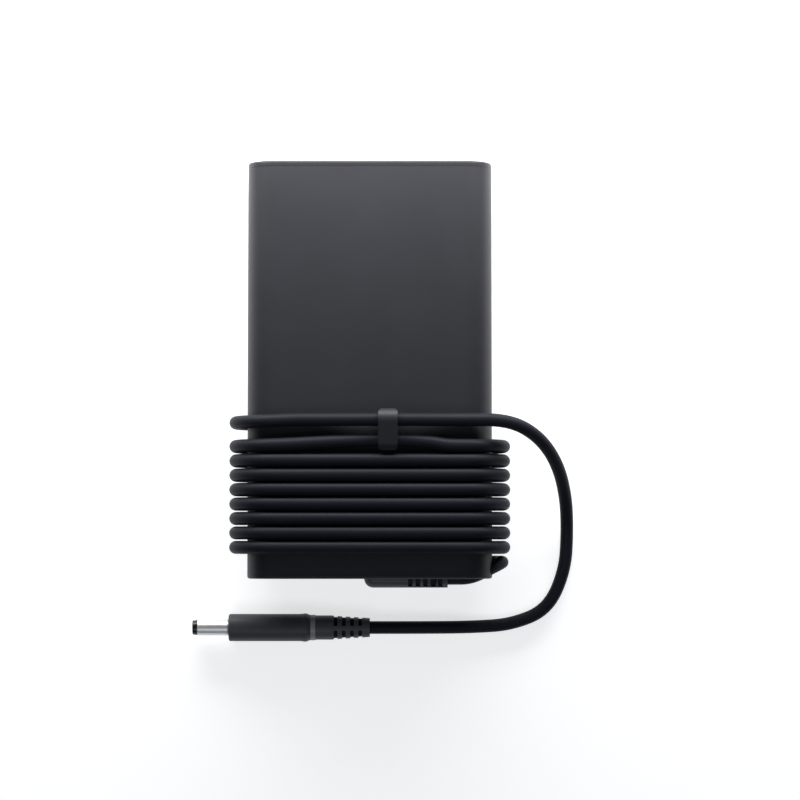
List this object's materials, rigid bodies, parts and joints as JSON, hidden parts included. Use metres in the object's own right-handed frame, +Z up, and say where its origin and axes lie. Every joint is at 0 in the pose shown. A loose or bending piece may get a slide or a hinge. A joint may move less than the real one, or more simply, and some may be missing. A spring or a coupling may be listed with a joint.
{
  "type": "laptop power adapter",
  "caption": "Slim rounded mains adapter with its output cord wound round one end, held by a small swinging clip, and a straight barrel plug.",
  "frame": {"origin": "centre of the case's footprint on the surface that it lies on", "axes": "+X across the case, +Y along it towards the mains inlet, +Z up out of the surface"},
  "size_m": [0.1327, 0.1662, 0.0352],
  "materials": {
    "case_plastic": "satin",
    "cord_rubber": "satin",
    "clip_plastic": "satin",
    "plug_plastic": "matte",
    "plug_metal": "polished",
    "contact_metal": "polished",
    "tip_plastic": "satin",
    "clear_plastic": "satin",
    "board": "satin",
    "film": "satin",
    "copper": "satin",
    "ferrite": "matte",
    "aluminium": "satin",
    "black_epoxy": "matte",
    "capacitor_plastic": "satin",
    "fuse_glass": "satin",
    "pad": "matte"
  },
  "bodies": {
    "adapter": {"case_sleeve": "case_plastic", "outlet_end_cap": "case_plastic", "inlet_end_cap": "case_plastic", "cord_winding": "cord_rubber", "cord_free": "cord_rubber", "cord_boot": "cord_rubber", "plug_body": "plug_plastic", "plug_boot": "plug_plastic", "plug_barrel": "plug_metal", "plug_contact": "contact_metal", "inlet_live_pins": "contact_metal", "inlet_earth_pin": "contact_metal", "plug_tip_insulator": "tip_plastic", "plug_light_ring": "clear_plastic", "circuit_board": "board", "plug_light_board": "board", "insulating_sheet": "film", "line_choke_windings": "copper", "boost_choke_coil": "copper", "transformer_winding": "copper", "inlet_wires": "copper", "output_wires": "copper", "line_choke_core": "ferrite", "boost_choke_core": "ferrite", "transformer_core": "ferrite", "primary_heat_spreader": "aluminium", "secondary_heat_spreader": "aluminium", "bulk_capacitors": "aluminium", "output_capacitors": "aluminium", "bridge_rectifier": "black_epoxy", "power_transistors": "black_epoxy", "output_rectifiers": "black_epoxy", "transformer_bobbin": "black_epoxy", "x_capacitor": "capacitor_plastic", "y_capacitors": "capacitor_plastic", "fuse": "fuse_glass", "thermal_pad": "pad"},
    "clip": {"cord_clip": "clip_plastic"}
  },
  "joints": [
    {"name": "clip_swing", "type": "hinge", "parent": "adapter", "child": "clip", "pos_m": [0.0063, -0.01668, 0.03136], "axis": [-1, 0, 0], "range_deg": [0, 105]}
  ]
}
